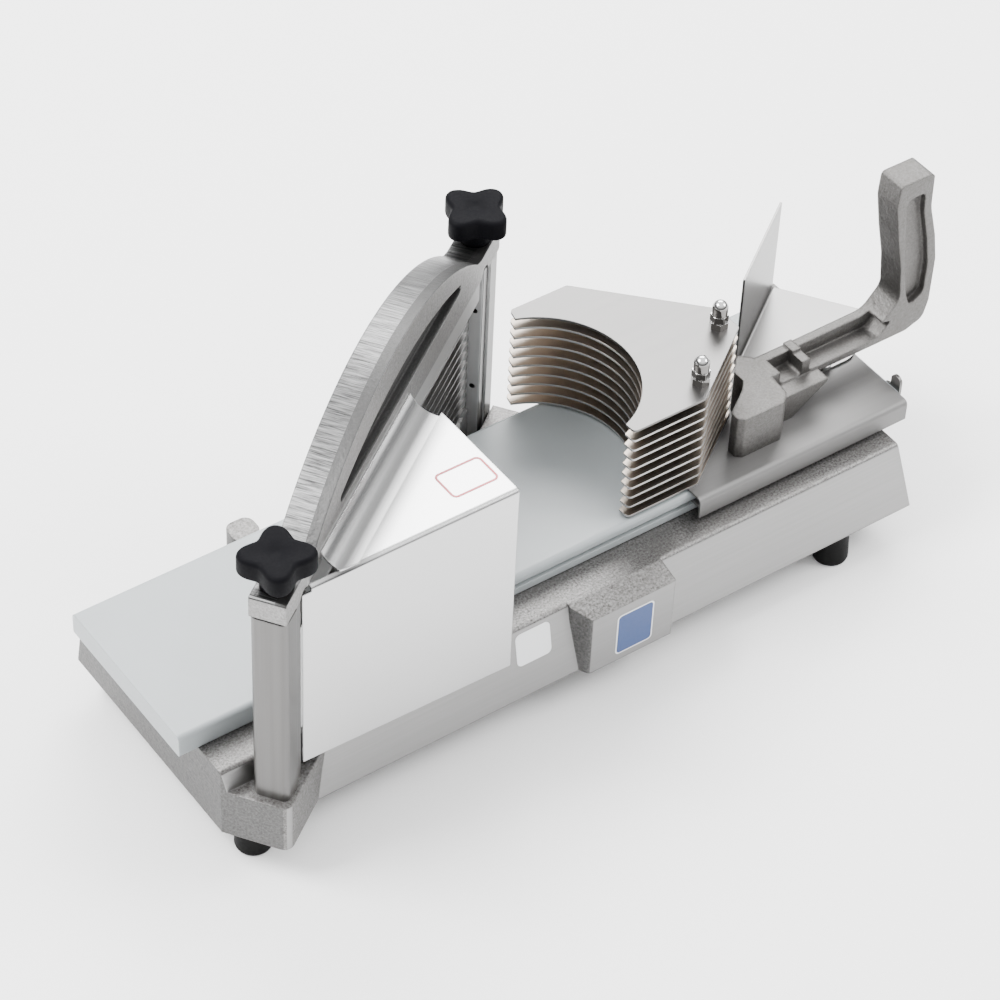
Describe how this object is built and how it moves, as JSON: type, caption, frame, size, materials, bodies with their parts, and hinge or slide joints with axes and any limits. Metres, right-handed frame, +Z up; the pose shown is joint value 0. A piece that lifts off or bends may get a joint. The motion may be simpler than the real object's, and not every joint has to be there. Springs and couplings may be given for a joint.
{
  "type": "manual vegetable slicer",
  "caption": "Bench slicer: a hand pusher with a curved stack of plates drives food along a plastic board through a diagonal rack of straight blades.",
  "frame": {"origin": "floor level under the middle of the bounding box", "axes": "+X along the slide board towards the pusher's grip, +Y away from the operator's side, +Z up"},
  "size_m": [0.469, 0.1822, 0.22],
  "materials": {
    "cast_aluminium": "satin, sand-cast grain",
    "machined_aluminium": "satin, machined",
    "stainless_sheet": "brushed",
    "blade_steel": "ground",
    "steel_hardware": "plain",
    "bright_steel": "polished",
    "polyethylene": "satin, slightly translucent",
    "black_plastic": "satin",
    "rubber": "matte"
  },
  "bodies": {
    "base": {"base_casting": "cast_aluminium", "slide_board": "polyethylene", "board_screws": "steel_hardware", "front_left_foot": "rubber", "front_right_foot": "rubber", "back_left_foot": "rubber", "back_right_foot": "rubber", "foot_screws": "steel_hardware", "front_post": "machined_aluminium", "back_post": "machined_aluminium", "post_screws": "steel_hardware", "top_frame": "cast_aluminium", "cartridge_top_bar": "machined_aluminium", "front_blade_block": "machined_aluminium", "back_blade_block": "machined_aluminium", "front_blade_rod": "steel_hardware", "back_blade_rod": "steel_hardware", "front_blade_spacers": "machined_aluminium", "back_blade_spacers": "machined_aluminium", "blade_1": "blade_steel", "blade_2": "blade_steel", "blade_3": "blade_steel", "blade_4": "blade_steel", "blade_5": "blade_steel", "blade_6": "blade_steel", "blade_7": "blade_steel", "blade_8": "blade_steel", "blade_9": "blade_steel", "blade_10": "blade_steel", "blade_guard": "stainless_sheet", "guard_screws": "steel_hardware", "end_stop": "stainless_sheet", "end_stop_screw": "steel_hardware"},
    "carriage": {"carriage_plate": "machined_aluminium", "front_guide_lip": "machined_aluminium", "back_guide_lip": "machined_aluminium", "pusher_plate_1": "stainless_sheet", "pusher_plate_2": "stainless_sheet", "pusher_plate_3": "stainless_sheet", "pusher_plate_4": "stainless_sheet", "pusher_plate_5": "stainless_sheet", "pusher_plate_6": "stainless_sheet", "pusher_plate_7": "stainless_sheet", "pusher_plate_8": "stainless_sheet", "pusher_plate_9": "stainless_sheet", "pusher_plate_10": "stainless_sheet", "plate_spacers": "machined_aluminium", "pusher_studs": "steel_hardware", "lock_nuts": "bright_steel", "acorn_nuts": "bright_steel", "pusher_handle": "cast_aluminium", "handle_screws": "steel_hardware", "hand_guard": "stainless_sheet", "hand_guard_screws": "steel_hardware"},
    "front_stud": {"front_clamp_stud": "steel_hardware"},
    "front_knob": {"front_clamp_knob": "black_plastic"},
    "back_stud": {"back_clamp_stud": "steel_hardware"},
    "back_knob": {"back_clamp_knob": "black_plastic"}
  },
  "joints": [
    {"name": "carriage_slide", "type": "slide", "parent": "base", "child": "carriage", "axis": [-1, 0, 0], "range_m": [0, 0.18]},
    {"name": "front_knob_lift", "type": "slide", "parent": "base", "child": "front_stud", "axis": [0, 0, 1], "range_m": [0, 0.00423]},
    {"name": "front_knob_turn", "type": "hinge", "parent": "front_stud", "child": "front_knob", "pos_m": [-0.19758, -0.07414, 0.18], "axis": [0, 0, 1], "range_deg": [0, 1080]},
    {"name": "back_knob_lift", "type": "slide", "parent": "base", "child": "back_stud", "axis": [0, 0, 1], "range_m": [0, 0.00423]},
    {"name": "back_knob_turn", "type": "hinge", "parent": "back_stud", "child": "back_knob", "pos_m": [0.01178, 0.07354, 0.18], "axis": [0, 0, 1], "range_deg": [0, 1080]}
  ],
  "couplings": [
    {"joint": "front_knob_turn", "follows": "front_knob_lift", "rad_per_m": 4452.7},
    {"joint": "back_knob_turn", "follows": "back_knob_lift", "rad_per_m": 4452.7}
  ]
}
